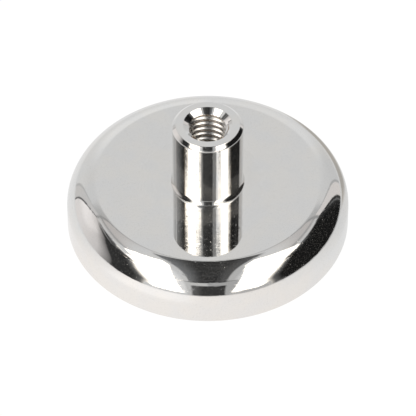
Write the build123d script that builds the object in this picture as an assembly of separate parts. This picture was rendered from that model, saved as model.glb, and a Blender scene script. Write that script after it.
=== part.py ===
from build123d import *
import math
import os

# Pot magnet: steel cup, threaded bush, disc magnet and resin ring.
# Millimetres. Origin at the centre of the holding face, +Z along the axis
# towards the mouth of the bush. Every piece is a half section in the XZ
# plane, turned once round the Z axis.

# Cup
CUP_R = 20.0          # outside radius of the skirt
CUP_H = 8.0           # holding face to flat roof
SHOULDER_W = 5.2      # large round between roof and skirt, a quarter ellipse:
SHOULDER_H = 4.6      # its width along the roof and its height down the skirt
RIM_OUT = 0.4         # round on the outer edge of the rim
RIM_IN = 0.3          # bevel on the inner edge of the rim
POCKET_R = 17.0       # magnet pocket
ROOF_T = 2.8          # thickness of the roof
POCKET_FILLET = 0.8   # round where the pocket's wall meets its ceiling

# Bush
TOP_Z = 19.0          # holding face to top of the bush
BUSH_R = 5.0
CHAMFER = 0.5         # 45 degree bevel on the top edge
LIP_R = 5.2           # lip where the bush lands on the roof
LIP_EDGE = 0.12       # upright edge of the lip
SWEEP_H = 0.55        # height of the hollow sweep from lip to wall
SPIGOT_R = 3.5        # part of the bush that goes through the roof
SPREAD_R = 4.2        # spigot's end after it is spread in the pocket
SPREAD_H = 0.9        # height of the spread

# Tapped hole, M6 x 1. The wall is the tapping drill's, without thread turns.
TAP_R = 2.5
MOUTH_R = 3.45
COUNTERSINK_ANGLE = 120.0
HOLE_FLOOR_Z = 8.0    # where the full diameter ends
DRILL_ANGLE = 118.0   # cone left by the drill

# Magnet and resin
MAGNET_R = 16.0
MAGNET_T = 5.0
MAGNET_ROUND = 0.3
RESIN_Z = 0.45        # height of the resin's edge above the holding face
RESIN_DIP = 0.12      # how far its surface curves in between the walls

ROOF_UNDER_Z = CUP_H - ROOF_T
MAGNET_Z = ROOF_UNDER_Z - MAGNET_T


def section(build):
    """A closed half section drawn in the XZ plane."""
    with BuildSketch(Plane.XZ) as sketch:
        with BuildLine():
            build()
        make_face()
    return sketch.sketch


def turned(profile):
    """One full turn of a half section round the Z axis."""
    return revolve(profile, Axis.Z, 360)


def quarter(centre, radius, start):
    """A quarter arc, anticlockwise from the angle start in degrees."""
    return CenterArc(centre, radius, start, 90)


def cup_profile():
    # From the bevelled inner edge of the rim, out and round to the roof.
    Line((POCKET_R + RIM_IN, 0), (CUP_R - RIM_OUT, 0))
    quarter((CUP_R - RIM_OUT, RIM_OUT), RIM_OUT, 270)
    Line((CUP_R, RIM_OUT), (CUP_R, CUP_H - SHOULDER_H))
    EllipticalCenterArc((CUP_R - SHOULDER_W, CUP_H - SHOULDER_H),
                        SHOULDER_W, SHOULDER_H, 0, arc_size=90)
    Line((CUP_R - SHOULDER_W, CUP_H), (SPIGOT_R, CUP_H))
    # The hole for the spigot opens out below, where the spigot is spread.
    Line((SPIGOT_R, CUP_H), (SPIGOT_R, ROOF_UNDER_Z + SPREAD_H))
    Line((SPIGOT_R, ROOF_UNDER_Z + SPREAD_H), (SPREAD_R, ROOF_UNDER_Z))
    # Ceiling and wall of the pocket.
    ceiling_r = POCKET_R - POCKET_FILLET
    Line((SPREAD_R, ROOF_UNDER_Z), (ceiling_r, ROOF_UNDER_Z))
    quarter((ceiling_r, ROOF_UNDER_Z - POCKET_FILLET), POCKET_FILLET, 0)
    Line((POCKET_R, ROOF_UNDER_Z - POCKET_FILLET), (POCKET_R, RIM_IN))
    Line((POCKET_R, RIM_IN), (POCKET_R + RIM_IN, 0))


def bush_profile():
    # Solid end: the spread spigot, up to the shoulder that lands on the roof.
    Line((0, ROOF_UNDER_Z), (SPREAD_R, ROOF_UNDER_Z))
    Line((SPREAD_R, ROOF_UNDER_Z), (SPIGOT_R, ROOF_UNDER_Z + SPREAD_H))
    Line((SPIGOT_R, ROOF_UNDER_Z + SPREAD_H), (SPIGOT_R, CUP_H))
    Line((SPIGOT_R, CUP_H), (LIP_R, CUP_H))
    # Lip, then a hollow sweep: a quarter ellipse that ends along the wall.
    sweep_top = CUP_H + LIP_EDGE + SWEEP_H
    Line((LIP_R, CUP_H), (LIP_R, CUP_H + LIP_EDGE))
    EllipticalCenterArc((LIP_R, sweep_top), LIP_R - BUSH_R, SWEEP_H, 180, arc_size=90)
    # Wall, top bevel and top face.
    Line((BUSH_R, sweep_top), (BUSH_R, TOP_Z - CHAMFER))
    Line((BUSH_R, TOP_Z - CHAMFER), (BUSH_R - CHAMFER, TOP_Z))
    Line((BUSH_R - CHAMFER, TOP_Z), (MOUTH_R, TOP_Z))
    # Countersink, hole and the drill's cone.
    mouth_z = TOP_Z - (MOUTH_R - TAP_R) / math.tan(math.radians(COUNTERSINK_ANGLE / 2))
    Line((MOUTH_R, TOP_Z), (TAP_R, mouth_z))
    Line((TAP_R, mouth_z), (TAP_R, HOLE_FLOOR_Z))
    cone = TAP_R / math.tan(math.radians(DRILL_ANGLE / 2))
    Line((TAP_R, HOLE_FLOOR_Z), (0, HOLE_FLOOR_Z - cone))
    Line((0, HOLE_FLOOR_Z - cone), (0, ROOF_UNDER_Z))


def magnet_profile():
    low, high = MAGNET_Z, MAGNET_Z + MAGNET_T
    flat = MAGNET_R - MAGNET_ROUND
    Line((0, low), (flat, low))
    quarter((flat, low + MAGNET_ROUND), MAGNET_ROUND, 270)
    Line((MAGNET_R, low + MAGNET_ROUND), (MAGNET_R, high - MAGNET_ROUND))
    quarter((flat, high - MAGNET_ROUND), MAGNET_ROUND, 0)
    Line((flat, high), (0, high))
    Line((0, high), (0, low))


def resin_profile():
    # Fills the gap up to the ceiling, and round both rounded corners.
    inner, outer = MAGNET_R, POCKET_R
    flat = MAGNET_R - MAGNET_ROUND
    ceiling_r = POCKET_R - POCKET_FILLET
    ThreePointArc((inner, RESIN_Z), ((inner + outer) / 2, RESIN_Z + RESIN_DIP),
                  (outer, RESIN_Z))
    Line((outer, RESIN_Z), (outer, ROOF_UNDER_Z - POCKET_FILLET))
    quarter((ceiling_r, ROOF_UNDER_Z - POCKET_FILLET), POCKET_FILLET, 0)
    Line((ceiling_r, ROOF_UNDER_Z), (flat, ROOF_UNDER_Z))
    # The magnet's own round, followed back down to its wall.
    diagonal = MAGNET_ROUND * math.sqrt(0.5)
    round_z = ROOF_UNDER_Z - MAGNET_ROUND
    ThreePointArc((flat, ROOF_UNDER_Z), (flat + diagonal, round_z + diagonal),
                  (inner, round_z))
    Line((inner, round_z), (inner, RESIN_Z))


NODES = {
    "steel_cup": cup_profile,
    "threaded_bush": bush_profile,
    "disc_magnet": magnet_profile,
    "epoxy_ring": resin_profile,
}

os.makedirs("parts", exist_ok=True)
for name, profile in NODES.items():
    solid = turned(section(profile))
    export_step(solid, f"parts/{name}.step")
    size = solid.bounding_box().size
    print(f"{name}: volume {solid.volume:.1f} mm3, box {size.X:.2f} x {size.Y:.2f} x {size.Z:.2f}")
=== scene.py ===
# %% [markdown]
# # A pot magnet with a threaded bush
# The object is a steel cup that holds a disc magnet, with a turned bush
# standing on its roof. The cup and the bush are nickel plated and polished
# like a mirror, so most of what the eye reads on them is the room. The
# lesson builds the four pieces as surfaces, gives each its finish, and then
# builds the room that the plating reflects.
#
# The frame holds the four solids in metres. Every piece made here replaces
# one of them and keeps its size.

# %% Load the frame and keep its box
import math

import bpy
import numpy as np
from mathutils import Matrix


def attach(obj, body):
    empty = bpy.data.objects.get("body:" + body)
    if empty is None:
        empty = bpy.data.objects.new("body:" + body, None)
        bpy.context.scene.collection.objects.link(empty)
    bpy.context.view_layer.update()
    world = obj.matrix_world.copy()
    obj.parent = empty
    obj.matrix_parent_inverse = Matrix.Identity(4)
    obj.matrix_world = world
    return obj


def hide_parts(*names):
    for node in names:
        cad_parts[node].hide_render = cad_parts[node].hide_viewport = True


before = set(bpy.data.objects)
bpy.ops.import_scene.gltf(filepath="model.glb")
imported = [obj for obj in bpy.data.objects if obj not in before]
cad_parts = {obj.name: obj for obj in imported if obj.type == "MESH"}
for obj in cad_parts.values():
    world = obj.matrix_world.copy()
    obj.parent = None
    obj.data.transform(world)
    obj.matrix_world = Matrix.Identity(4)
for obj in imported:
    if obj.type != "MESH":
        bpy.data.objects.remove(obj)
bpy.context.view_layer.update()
print("solids:", sorted(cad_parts))

# %% [markdown]
# ## Sections with soft corners
# A turned or pressed piece is one half section carried round an axis. Real
# sections have no knife edges: a pressed corner follows its tool's round, and
# a turned corner is broken with a file. A polished edge shows as a thin
# bright line because of that. Each corner of a section is therefore given a
# small quarter ellipse, written as the corner and the two lengths that the
# round takes off its sides. Lengths are in millimetres, as in a workshop.

# %% A rounded corner and a rounded section
MM = 0.001
HOLD = 0.04            # a row this far from each end keeps a straight run straight
LONG_RUN = 4 * HOLD    # runs longer than this get such rows
SAME_POINT = 1e-6      # rows nearer than this are one


def corner_arc(before, corner, after, back, ahead, steps):
    """Points of a quarter ellipse that cuts a corner.

    u points along the side that arrives and v along the side that leaves.
    The arc starts at S = C - back*u and ends at E = C + ahead*v. With the
    centre M = C - back*u + ahead*v, a point at angle t is
    M - ahead*v*cos(t) + back*u*sin(t), for t from 0 to a quarter turn.
    """
    u = (corner - before) / np.linalg.norm(corner - before)
    v = (after - corner) / np.linalg.norm(after - corner)
    t = np.linspace(0.0, math.pi / 2, steps + 1)[:, None]
    centre = corner - back * u + ahead * v
    return centre - ahead * v * np.cos(t) + back * u * np.sin(t)


def section(corners, closed):
    """A half section as an (n, 2) array of radius and height.

    corners is a list of (radius, height, back, ahead, steps). A corner whose
    back is 0 stays a single point. A straight run longer than LONG_RUN gets
    one more point HOLD away from each of its ends.
    """
    spots = np.array([c[:2] for c in corners], dtype=float)
    count = len(corners)
    arcs = []
    for i, (_, _, back, ahead, steps) in enumerate(corners):
        inner = closed or 0 < i < count - 1
        if back and inner:
            arcs.append(corner_arc(spots[i - 1], spots[i], spots[(i + 1) % count],
                                   back, ahead, steps))
        else:
            arcs.append(spots[i:i + 1])
    rows = []
    for i, arc in enumerate(arcs):
        rows.append(arc)
        if not closed and i == count - 1:
            break
        start, end = arc[-1], arcs[(i + 1) % count][0]
        length = np.linalg.norm(end - start)
        if length > LONG_RUN:
            step = (end - start) / length * HOLD
            rows.append(np.array([start + step, end - step]))
    points = np.concatenate(rows)
    keep = np.linalg.norm(points - np.roll(points, 1, axis=0), axis=1) > SAME_POINT
    if not closed:
        keep[0] = True
    return points[keep]


trial = section([(0, 0, 0, 0, 0), (2, 0, 0.5, 0.5, 4), (2, 1, 0, 0, 0)], closed=False)
print("a trial corner of half a millimetre:", len(trial), "rows")

# %% [markdown]
# ## From a section to a skin
# The section is turned round the axis on a grid: one column for each step of
# angle, one row for each point of the section. The first and last columns
# are the same points, and a point on the axis is the same in every column,
# so points that coincide are welded. That closes the seam and the poles.

# %% Turn a section, weld a grid, and make an object of it
WELD_STEPS = 1e5       # steps to a millimetre: points that round to the same step are welded
SHARP = 32.0           # degrees between two faces, above which their edge stays sharp


def turned(rows, segments):
    """Grid of a full turn: x = r*cos(a), y = r*sin(a), z = height.

    a runs from 0 to a full turn in equal steps, and the last column repeats
    the first.
    """
    angle = np.linspace(0.0, 2 * math.pi, segments + 1)
    radius, height = rows[:, :1], rows[:, 1:]
    return np.stack([radius * np.cos(angle), radius * np.sin(angle),
                     height + 0 * angle], axis=-1)


def grid_faces(grid, closed_rows=False):
    """Quads of an (n, m, 3) grid, anticlockwise for a section that runs up
    on the outside, as point numbers in the flattened grid."""
    n, m = grid.shape[:2]
    number = np.arange(n * m).reshape(n, m)
    if closed_rows:
        number = np.concatenate([number, number[:1]])
    low, high = number[:-1], number[1:]
    return np.stack([low[:, :-1], low[:, 1:], high[:, 1:], high[:, :-1]],
                    axis=-1).reshape(-1, 4)


def weld(parts):
    """Joins (points, quads) pairs and merges points that coincide.

    A quad that loses one corner becomes a triangle, and one that loses more
    is dropped. Returns points, quads and triangles.
    """
    shift = np.cumsum([0] + [len(points) for points, _ in parts[:-1]])
    points = np.concatenate([points for points, _ in parts])
    quads = np.concatenate([faces + s for (_, faces), s in zip(parts, shift)])
    _, first, number = np.unique(np.round(points * WELD_STEPS).astype(np.int64), axis=0,
                                 return_index=True, return_inverse=True)
    points, quads = points[first], number.reshape(-1)[quads]
    same = quads == np.roll(quads, -1, axis=1)
    lost = same.sum(axis=1)
    thin = quads[lost == 1]
    kept = ~same[lost == 1]
    return points, quads[lost == 0], thin[kept].reshape(-1, 3)


def skin(name, parts):
    """An object at the origin made of welded grids, in metres, smooth except
    where two faces meet at more than SHARP degrees."""
    points, quads, triangles = weld(parts)
    mesh = bpy.data.meshes.new(name)
    mesh.from_pydata((points * MM).tolist(), [], quads.tolist() + triangles.tolist())
    mesh.polygons.foreach_set("use_smooth", np.ones(len(mesh.polygons), dtype=bool))
    mesh.set_sharp_from_angle(angle=math.radians(SHARP))
    mesh.update()
    piece = bpy.data.objects.new(name, mesh)
    bpy.context.scene.collection.objects.link(piece)
    loops = np.zeros(len(mesh.loops), dtype=np.int32)
    mesh.loops.foreach_get("edge_index", loops)
    open_edges = int((np.bincount(loops, minlength=len(mesh.edges)) != 2).sum())
    print(f"{name}: {len(points)} points, {2 * len(quads) + len(triangles)} triangles, "
          f"{open_edges} open edges")
    return piece


# %% [markdown]
# ## The cup
# The cup is steel, drawn from a blank and coined, so that its roof is flat,
# its skirt short and upright, and its shoulder one large even round. That
# shoulder is what makes the piece: it is a quarter ellipse, a little wider
# along the roof than it is tall. Underneath is the pocket for the magnet. The
# rim is the pole face and keeps a crisp inner bevel. One closed section makes
# all of it, and the shoulder gets many rows because a mirror shows every
# facet.

# %% Cup sizes and section
CUP_R, CUP_H = 20.0, 8.0
SHOULDER_W, SHOULDER_H = 5.2, 4.6
RIM_OUT, RIM_BEVEL = 0.4, 0.3
POCKET_R, ROOF_UNDER, POCKET_FILLET, FILLET_STEPS = 17.0, 5.2, 0.8, 10
SPIGOT_R, SPREAD_R, SPREAD_H = 3.5, 4.2, 0.9
EDGE = 0.06            # round on an edge that is only broken
CUP_SEGMENTS = 360

cup_corners = [
    (POCKET_R + RIM_BEVEL, 0, EDGE, EDGE, 3),
    (CUP_R, 0, RIM_OUT, RIM_OUT, 12),
    (CUP_R, CUP_H, SHOULDER_H, SHOULDER_W, 110),
    (SPIGOT_R, CUP_H, EDGE, EDGE, 3),
    (SPIGOT_R, ROOF_UNDER + SPREAD_H, 0, 0, 0),
    (SPREAD_R, ROOF_UNDER, 0, 0, 0),
    (POCKET_R, ROOF_UNDER, POCKET_FILLET, POCKET_FILLET, FILLET_STEPS),
    (POCKET_R, RIM_BEVEL, EDGE, EDGE, 3),
]
cup_rows = section(cup_corners, closed=True)
print("cup section:", len(cup_rows), "rows")

# %% [markdown]
# ## Where the roof turns into the shoulder
# A quarter ellipse starts with a sudden curve, and a mirror shows that as a
# kink in every line that crosses it. The press leaves a gentler start, so
# the roof stays flat a little further out and then falls away slowly until
# it meets the ellipse. The change is about a twentieth of a millimetre.

# %% Ease the shoulder and make the cup
FLAT_TO, EASED_AT = 15.35, 15.92       # radii between which the roof starts to fall
SHOULDER_IN = CUP_R - SHOULDER_W       # radius where the ellipse itself starts
CLEAR = 0.1                            # keeps the rows of the pocket out


def ellipse_part(r):
    """Radius r as a part 0 to 1 of the ellipse's width."""
    return (r - SHOULDER_IN) / SHOULDER_W


def ellipse_drop(r):
    """Drop of the ellipse below the roof: height * (1 - sqrt(1 - part*part))."""
    return SHOULDER_H * (1 - np.sqrt(np.maximum(1 - ellipse_part(r) ** 2, 0)))


def ease_shoulder(rows):
    """Keeps the roof flat a little past the start of the ellipse.

    Between FLAT_TO and EASED_AT the slope grows evenly from 0 to the
    ellipse's own slope there, so the drop is slope * (r - FLAT_TO)**2 over
    twice the length. Beyond that the ellipse is lifted by the difference.
    """
    part = ellipse_part(EASED_AT)
    slope = SHOULDER_H / SHOULDER_W * part / math.sqrt(1 - part ** 2)
    lift = ellipse_drop(EASED_AT) - slope * (EASED_AT - FLAT_TO) / 2
    r, z = rows[:, 0], rows[:, 1]
    in_pocket = (z <= ROOF_UNDER + CLEAR) & (r <= POCKET_R + CLEAR)
    on_shoulder = (r > SHOULDER_IN) & (z > CUP_H - SHOULDER_H) & ~in_pocket
    eased = slope * np.maximum(r - FLAT_TO, 0) ** 2 / (2 * (EASED_AT - FLAT_TO))
    eased = np.where(r > EASED_AT, ellipse_drop(r) - lift, eased)
    print("shoulder lifted by", round(float(lift), 4), "mm")
    return np.stack([r, np.where(on_shoulder, CUP_H - eased, z)], axis=1)


cup_grid = turned(ease_shoulder(cup_rows), CUP_SEGMENTS)
steel_cup = skin("steel_cup_plated",
                 [(cup_grid.reshape(-1, 3), grid_faces(cup_grid, closed_rows=True))])
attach(steel_cup, "root")
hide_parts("steel_cup")

# %% [markdown]
# ## The bush
# The bush is turned from bar: an upright wall, a bevel at the top edge, a
# flat face and a countersunk mouth. Its foot flares out to a thin collar
# that lands on the roof, and a spigot goes through the roof and is spread in
# the pocket to hold it. The outside is one open section from the axis to the
# lip of the mouth.

# %% Bush sizes and outer section
TOP_Z, BUSH_R, CHAMFER = 19.0, 5.0, 0.5
COLLAR_R, COLLAR_UP, UNDERCUT = 5.2, 0.10, 0.04
CONE_H, SWEEP_LOW, SWEEP_UP = 0.32, 0.28, 0.36     # cone above the collar, and the sweep out of it
COLLAR_EDGE, BEVEL_EDGE, TOP_EDGE = 0.01, 0.10, 0.05     # rounds of the three edges
MOUTH_R = 3.45
BUSH_SEGMENTS = 192

bush_corners = [
    (0, ROOF_UNDER, 0, 0, 0),
    (SPREAD_R, ROOF_UNDER, EDGE, EDGE, 3),
    (SPIGOT_R, ROOF_UNDER + SPREAD_H, 0, 0, 0),
    (SPIGOT_R, CUP_H, 0, 0, 0),
    (COLLAR_R - UNDERCUT, CUP_H, 0, 0, 0),
    (COLLAR_R, CUP_H + UNDERCUT, 0, 0, 0),
    (COLLAR_R, CUP_H + COLLAR_UP, COLLAR_EDGE, COLLAR_EDGE, 2),
    (BUSH_R, CUP_H + COLLAR_UP + CONE_H, SWEEP_LOW, SWEEP_UP, 24),
    (BUSH_R, TOP_Z - CHAMFER, BEVEL_EDGE, BEVEL_EDGE, 8),
    (BUSH_R - CHAMFER, TOP_Z, TOP_EDGE, TOP_EDGE, 5),
    (MOUTH_R, TOP_Z, 0, 0, 0),
]
bush_rows = section(bush_corners, closed=False)
bush_grid = turned(bush_rows, BUSH_SEGMENTS)
print("outer section of the bush:", len(bush_rows), "rows")

# %% [markdown]
# ## The tapped hole
# The hole is drilled, countersunk and tapped M6 x 1. A cut thread is a
# groove that climbs one pitch for each turn, so its rows are not level: the
# grid itself climbs by a pitch round the axis, and its last column meets its
# first one pitch higher. The countersink cuts the first turn away at a
# slant, which gives the sickle-shaped starts that are seen in the mouth.

# %% Thread as a climbing grid
PITCH, CREST_R, ROOT_R = 1.0, 2.5, 3.0
CREST_FLAT, ROOT_FLAT = 0.25, 0.125    # flats of crest and root, in pitches
HOLE_FLOOR, RUN_OUT = 8.0, 0.8
ROWS_PER_TURN = 24
COUNTERSINK_ANGLE = 120.0
THREAD_START = 0.27    # part of a turn by which the crest is ahead of the seam
CORNER_WEAR = 0.09     # part of half a pitch over which thread corners are rounded
countersink_spread = math.tan(math.radians(COUNTERSINK_ANGLE / 2))


def thread_radius(turn_part):
    """Radius of the thread at a part 0 to 1 of its pitch.

    The root is flat for an eighth of the pitch, the flanks are straight, and
    the crest is flat for a quarter: distance from the middle of the crest,
    less half the crest, over the flank's length, held between 0 and 1. The
    distance is in half pitches, so each half flat has the same number. The
    mean of three shifted copies rounds the corners, as plating does.
    """
    from_crest = np.abs((turn_part + 0.5) % 1.0 - 0.5) * 2
    blurred = from_crest[..., None] + CORNER_WEAR * np.array([-1.0, 0.0, 1.0])
    flank = 1 - CREST_FLAT - ROOT_FLAT
    along_flank = np.clip((blurred - CREST_FLAT) / flank, 0, 1).mean(axis=-1)
    return CREST_R + (ROOT_R - CREST_R) * along_flank


def thread_grid(low, high, segments):
    """Climbing grid of the tapped wall between two heights.

    Row i and angle a give the height low + pitch*(i/rows - 1 + a/turn), held
    between low and high. The radius is the thread's there, fading to the
    drilled wall over RUN_OUT above low, or the countersink's cone where that
    is wider.
    """
    angle = np.linspace(0.0, 2 * math.pi, segments + 1)[None, :]
    count = int(round((high - low) / PITCH)) + 1
    row = np.arange(count * ROWS_PER_TURN + 1)[:, None]
    climb = PITCH * angle / (2 * math.pi)
    height = np.clip(low - PITCH + PITCH * row / ROWS_PER_TURN + climb, low, high)
    cut = thread_radius((height - climb) / PITCH - THREAD_START)
    fade_in = np.clip((height - low) / RUN_OUT, 0, 1)
    radius = CREST_R + (cut - CREST_R) * fade_in
    radius = np.maximum(radius, MOUTH_R - (TOP_Z - height) * countersink_spread)
    return np.stack([radius * np.cos(angle), radius * np.sin(angle), height], axis=-1)


hole_grid = thread_grid(HOLE_FLOOR, TOP_Z, BUSH_SEGMENTS)
print("thread grid:", hole_grid.shape[0], "rows of", hole_grid.shape[1], "points")

# %% [markdown]
# ## The end of the hole
# A twist drill leaves a shallow cone at the bottom of a blind hole. It is
# turned like the outside, and the three grids are welded into one skin: the
# outside runs up and faces out, and the other two run up and face in.

# %% Drill's cone and the whole bush
DRILL_ANGLE = 118.0
cone_depth = CREST_R / math.tan(math.radians(DRILL_ANGLE / 2))
cone_rows = np.array([[0, HOLE_FLOOR - cone_depth],
                      [CREST_R / 2, HOLE_FLOOR - cone_depth / 2],
                      [CREST_R, HOLE_FLOOR]])
cone_grid = turned(cone_rows, BUSH_SEGMENTS)
threaded_bush = skin("threaded_bush_plated",
                     [(bush_grid.reshape(-1, 3), grid_faces(bush_grid)),
                      (hole_grid.reshape(-1, 3), grid_faces(hole_grid)[:, ::-1]),
                      (cone_grid.reshape(-1, 3), grid_faces(cone_grid)[:, ::-1])])
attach(threaded_bush, "root")
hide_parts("threaded_bush")

# %% [markdown]
# ## The magnet
# The magnet is a sintered disc with rounded rims, coated in satin nickel and
# set 0.2 mm back from the rim of the cup. It is an open section from axis to
# axis, so its two poles close it.

# %% Magnet
MAGNET_R, MAGNET_LOW, MAGNET_HIGH, MAGNET_ROUND = 16.0, 0.2, 5.2, 0.3
MAGNET_SEGMENTS = 180

magnet_corners = [
    (0, MAGNET_LOW, 0, 0, 0),
    (MAGNET_R, MAGNET_LOW, MAGNET_ROUND, MAGNET_ROUND, 10),
    (MAGNET_R, MAGNET_HIGH, MAGNET_ROUND, MAGNET_ROUND, 10),
    (0, MAGNET_HIGH, 0, 0, 0),
]
magnet_grid = turned(section(magnet_corners, closed=False), MAGNET_SEGMENTS)
disc_magnet = skin("disc_magnet_coated", [(magnet_grid.reshape(-1, 3), grid_faces(magnet_grid))])
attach(disc_magnet, "root")
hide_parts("disc_magnet")

# %% [markdown]
# ## The resin
# Black resin is poured into the gap round the magnet and creeps a little up
# both walls, so its surface dips between them. It fills the gap to the
# ceiling and round both rounded corners, so its section is closed and takes
# its sides from the pieces beside it.

# %% Resin
RESIN_EDGE, RESIN_DIP = 0.45, 0.12
SURFACE_ROWS, ROUND_ROWS = 17, 9
ON_WALL = 1.0          # any height on the pocket's wall, below its fillet


def resin_rows():
    """Closed section of the resin: a surface that dips as a parabola,
    z = edge + dip*(1 - s*s) for s from -1 at the magnet to 1 at the cup, then
    up the cup's wall, along the ceiling and down the magnet's wall."""
    s = np.linspace(-1, 1, SURFACE_ROWS)
    middle, half = (MAGNET_R + POCKET_R) / 2, (POCKET_R - MAGNET_R) / 2
    surface = np.stack([middle + half * s, RESIN_EDGE + RESIN_DIP * (1 - s * s)], axis=1)
    flat = MAGNET_R - MAGNET_ROUND
    up = corner_arc(np.array([POCKET_R, ON_WALL]), np.array([POCKET_R, ROOF_UNDER]),
                    np.array([flat, ROOF_UNDER]), POCKET_FILLET, POCKET_FILLET, FILLET_STEPS)
    t = np.linspace(0.0, math.pi / 2, ROUND_ROWS)
    down = np.stack([flat + MAGNET_ROUND * np.sin(t),
                     MAGNET_HIGH - MAGNET_ROUND + MAGNET_ROUND * np.cos(t)], axis=1)
    return np.concatenate([surface, up, down])


resin_grid = turned(resin_rows(), MAGNET_SEGMENTS)
epoxy_ring = skin("epoxy_ring_cast",
                  [(resin_grid.reshape(-1, 3), grid_faces(resin_grid, closed_rows=True))])
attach(epoxy_ring, "root")
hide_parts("epoxy_ring")

# %% [markdown]
# ## Small helpers for node trees
# Every finish and the room are node trees. A few helpers keep them short: add
# a node, do a sum, multiply masks, turn a value into a mask, and lay one
# colour over another.

# %% Node helpers
MIX_PART, MIX_UNDER, MIX_OVER, MIX_RESULT = 0, 6, 7, 2     # sockets of a Mix node set to colour


def add(tree, kind, **settings):
    """A new node of that kind with the named settings."""
    made = tree.nodes.new(kind)
    for key, value in settings.items():
        setattr(made, key, value)
    return made


def plug(tree, socket, value):
    """Links an output to the socket, or writes a plain value to it."""
    if isinstance(value, bpy.types.NodeSocket):
        tree.links.new(value, socket)
    else:
        socket.default_value = value


def work(tree, operation, first, second=None):
    """The result of one Math node."""
    made = add(tree, "ShaderNodeMath", operation=operation)
    plug(tree, made.inputs[0], first)
    if second is not None:
        plug(tree, made.inputs[1], second)
    return made.outputs[0]


def times(tree, *values):
    """The values multiplied together."""
    total = values[0]
    for value in values[1:]:
        total = work(tree, "MULTIPLY", total, value)
    return total


def length(tree, x, y):
    """Length of the flat vector x, y: sqrt(x*x + y*y)."""
    return work(tree, "SQRT", work(tree, "ADD", times(tree, x, x), times(tree, y, y)))


def ramp(tree, value, start, end, low=0.0, high=1.0, smooth=True):
    """value from start to end becomes low to high, held at both ends."""
    made = add(tree, "ShaderNodeMapRange",
               interpolation_type="SMOOTHSTEP" if smooth else "LINEAR")
    made.clamp = True
    for socket, entry in zip(made.inputs, (value, start, end, low, high)):
        plug(tree, socket, entry)
    return made.outputs[0]


def fade(tree, distance, start, end, low=0.0, high=1.0):
    """A smooth ramp over a distance, with start and end in millimetres."""
    return ramp(tree, distance, start * MM, end * MM, low, high)


def lay(tree, under, over, mask):
    """over laid on under where mask is 1."""
    made = add(tree, "ShaderNodeMix", data_type="RGBA")
    plug(tree, made.inputs[MIX_PART], mask)
    plug(tree, made.inputs[MIX_UNDER], under)
    plug(tree, made.inputs[MIX_OVER], over)
    return made.outputs[MIX_RESULT]


print("helpers for node trees are ready")

# %% [markdown]
# ## What every finish is made of
# A finish here is one physical shader with noise behind its sockets. Noise
# gives colour its clouds and metal its grain, and as bump it bends the
# light without moving the surface. Scales are waves per metre, so they stay
# true to the piece's size, and depths are in millimetres.

# %% Helpers for finishes
def finish(name):
    """A new material with its tree emptied down to one shader and output."""
    material = bpy.data.materials.new(name)
    material.use_nodes = True
    tree = material.node_tree
    tree.nodes.clear()
    shader = add(tree, "ShaderNodeBsdfPrincipled")
    output = add(tree, "ShaderNodeOutputMaterial")
    tree.links.new(shader.outputs[0], output.inputs[0])
    return material, tree, shader


def grain(tree, where, scale, detail=2.0, packed=(1, 1, 1)):
    """Noise 0 to 1 at that many waves per metre, times packed along each axis."""
    placed = add(tree, "ShaderNodeMapping")
    plug(tree, placed.inputs["Vector"], where)
    placed.inputs["Scale"].default_value = packed
    noise = add(tree, "ShaderNodeTexNoise")
    tree.links.new(placed.outputs[0], noise.inputs["Vector"])
    noise.inputs["Scale"].default_value = scale
    noise.inputs["Detail"].default_value = detail
    return noise.outputs[0]


def bump(tree, height, depth_mm, under=None):
    """Normal of a height field that is depth_mm deep, over another one."""
    made = add(tree, "ShaderNodeBump")
    made.inputs["Strength"].default_value = 1.0
    made.inputs["Distance"].default_value = depth_mm * MM
    plug(tree, made.inputs["Height"], height)
    if under is not None:
        tree.links.new(under, made.inputs["Normal"])
    return made.outputs[0]


print("helpers for finishes are ready")

# %% [markdown]
# ## Bright nickel
# Bright nickel is deposited from a levelling bath over ground steel. It is a
# mirror with a faintly warm grey colour that shifts in slow clouds. One
# material serves the cup and the bush, and masks from the radius and the
# height say where a point of it lies.

# %% Bright nickel: colour and places
NICKEL = (0.80, 0.79, 0.77, 1.0)
NICKEL_COOL = (0.78, 0.78, 0.775, 1.0)
CLOUD_NOISE = (0.35, 0.65)             # values of noise over which one colour becomes the other

nickel, tree, shader = finish("bright_nickel")
where = add(tree, "ShaderNodeTexCoord").outputs["Object"]
spot = add(tree, "ShaderNodeSeparateXYZ")
tree.links.new(where, spot.inputs[0])
x, y, z = spot.outputs
radius = length(tree, x, y)
clouds = grain(tree, where, scale=260.0)
tint = lay(tree, NICKEL, NICKEL_COOL, ramp(tree, clouds, *CLOUD_NOISE))
print("bright nickel, colour and places:", len(tree.nodes), "nodes")

# %% [markdown]
# ## The dull ring round the bush
# The roof was pressed hard when the spigot was spread, and the plate there is
# a little duller. The ring stands slightly off centre and its edge wanders,
# so its radius is measured from its own centre and moved by noise.

# %% Dull ring
DULL_R, DULL_SHIFT, DULL_WANDER = 8.8, 1.0, 0.4
DULL_EDGE = (DULL_R + 0.3, DULL_R - 0.4)          # radii over which the ring ends
DULL_FOOT = (BUSH_R + 0.8, BUSH_R + 2.4)          # and over which it grows full
DULL_AT_FOOT = 0.45                               # part of it beside the bush
OVER_ROOF, UNDER_ROOF = (CUP_H + 0.03, CUP_H + 0.01), (CUP_H - 0.10, CUP_H - 0.05)
WANDER_NOISE = (0.3, 0.7)

shifted = work(tree, "ADD", x, DULL_SHIFT * MM)
wander = ramp(tree, grain(tree, where, scale=320.0), *WANDER_NOISE, -DULL_WANDER * MM, DULL_WANDER * MM)
ring_r = work(tree, "ADD", length(tree, shifted, y), wander)
dull = times(tree, fade(tree, ring_r, *DULL_EDGE), fade(tree, ring_r, *DULL_FOOT, DULL_AT_FOOT, 1.0),
             fade(tree, z, *OVER_ROOF), fade(tree, z, *UNDER_ROOF))
print("with the dull ring:", len(tree.nodes), "nodes")

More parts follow.
